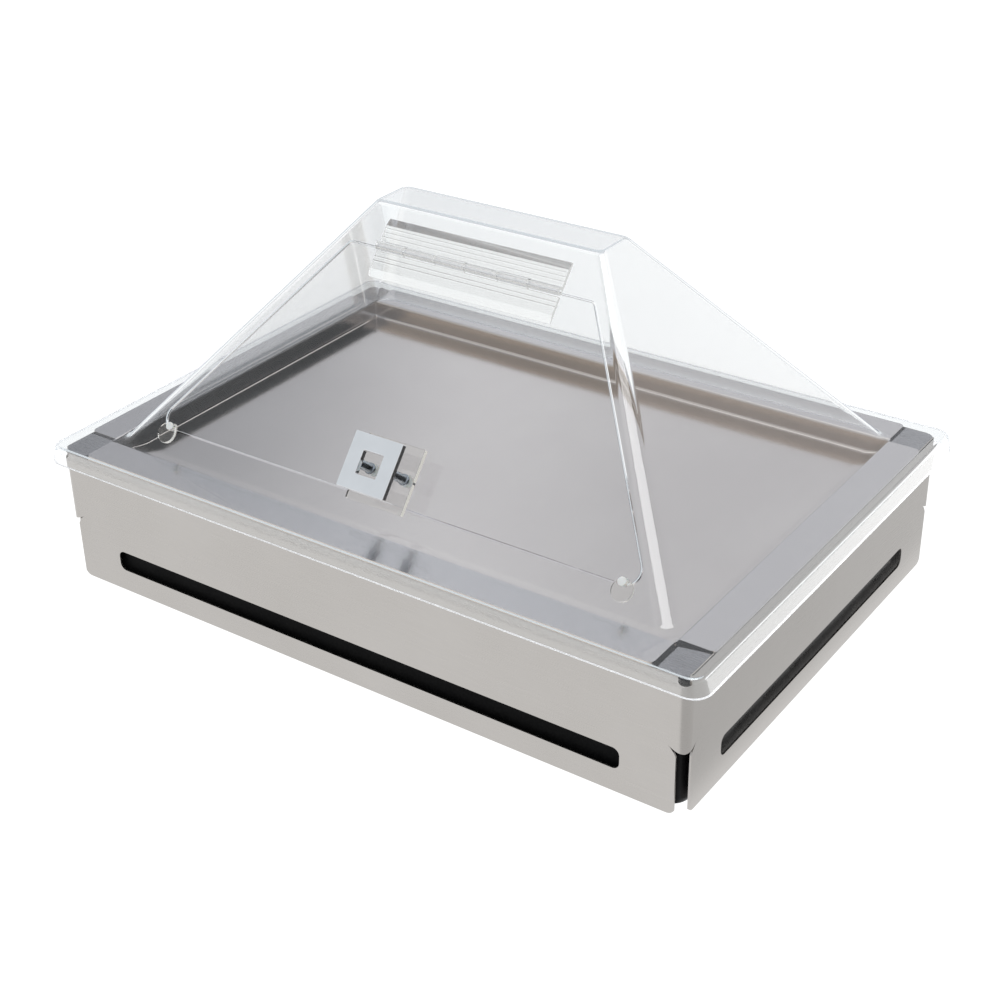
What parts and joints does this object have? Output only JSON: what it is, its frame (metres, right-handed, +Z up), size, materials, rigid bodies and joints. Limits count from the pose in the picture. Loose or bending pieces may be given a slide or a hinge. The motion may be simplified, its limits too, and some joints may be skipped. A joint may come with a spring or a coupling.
{
  "type": "countertop chilled food display station",
  "caption": "Countertop chilled food display: slotted steel sleeve around an insulated tub with cooling plates, a shallow steel pan and a clear pyramid cover with a top-hinged door.",
  "frame": {"origin": "on the table, under the centre of the covered station's outline", "axes": "+Z up, +X to the right along the long side, front (the door side) faces -Y"},
  "size_m": [0.627, 0.437, 0.3187],
  "materials": {
    "sleeve_steel": "satin, fine vertical grain",
    "ledge_steel": "smooth satin",
    "pan_steel": "brushed front to back",
    "tub_plastic": "black, moulded",
    "foot_rubber": "matte",
    "foam": "white moulded bead foam",
    "plate_plastic": "blue, moulded",
    "eutectic": "frozen pale blue salt solution",
    "clear_cover": "clear acrylic, polished",
    "clear_hinge": "clear extruded plastic",
    "clear_parts": "clear acrylic, machined edges",
    "polished_steel": "polished",
    "nylon": "white nylon"
  },
  "bodies": {
    "base": {"housing_shell": "sleeve_steel", "corner_plates": "ledge_steel", "cold_tub": "tub_plastic", "tub_rim": "tub_plastic", "rubber_feet": "foot_rubber", "insulation_tray": "foam"},
    "cooling": {"cooling_plate_left": "plate_plastic", "cooling_plate_right": "plate_plastic", "eutectic_fill_left": "eutectic", "eutectic_fill_right": "eutectic", "filler_caps": "plate_plastic"},
    "pan": {"food_pan": "pan_steel"},
    "cover": {"cover_shell": "clear_cover", "hinge_upper_leaf": "clear_hinge", "hinge_pin": "clear_hinge"},
    "door": {"door_panel": "clear_cover", "hinge_lower_leaf": "clear_hinge", "handle_base": "clear_parts", "handle_plate": "polished_steel", "handle_post_left": "polished_steel", "handle_post_right": "polished_steel", "handle_screws": "polished_steel", "handle_washers": "nylon", "stop_disc_left": "clear_parts", "stop_disc_right": "clear_parts", "stop_rivets": "nylon"}
  },
  "joints": [
    {"name": "plates_lift", "type": "slide", "parent": "base", "child": "cooling", "axis": [0, 0, 1], "range_m": [0, 0.08]},
    {"name": "pan_lift", "type": "slide", "parent": "cooling", "child": "pan", "axis": [0, 0, 1], "range_m": [0, 0.1]},
    {"name": "cover_lift", "type": "slide", "parent": "pan", "child": "cover", "axis": [0, 0, 1], "range_m": [0, 0.2]},
    {"name": "door_hinge", "type": "hinge", "parent": "cover", "child": "door", "pos_m": [0, -0.04318, 0.29237], "axis": [-1, 0, 0], "range_deg": [0, 170]}
  ]
}
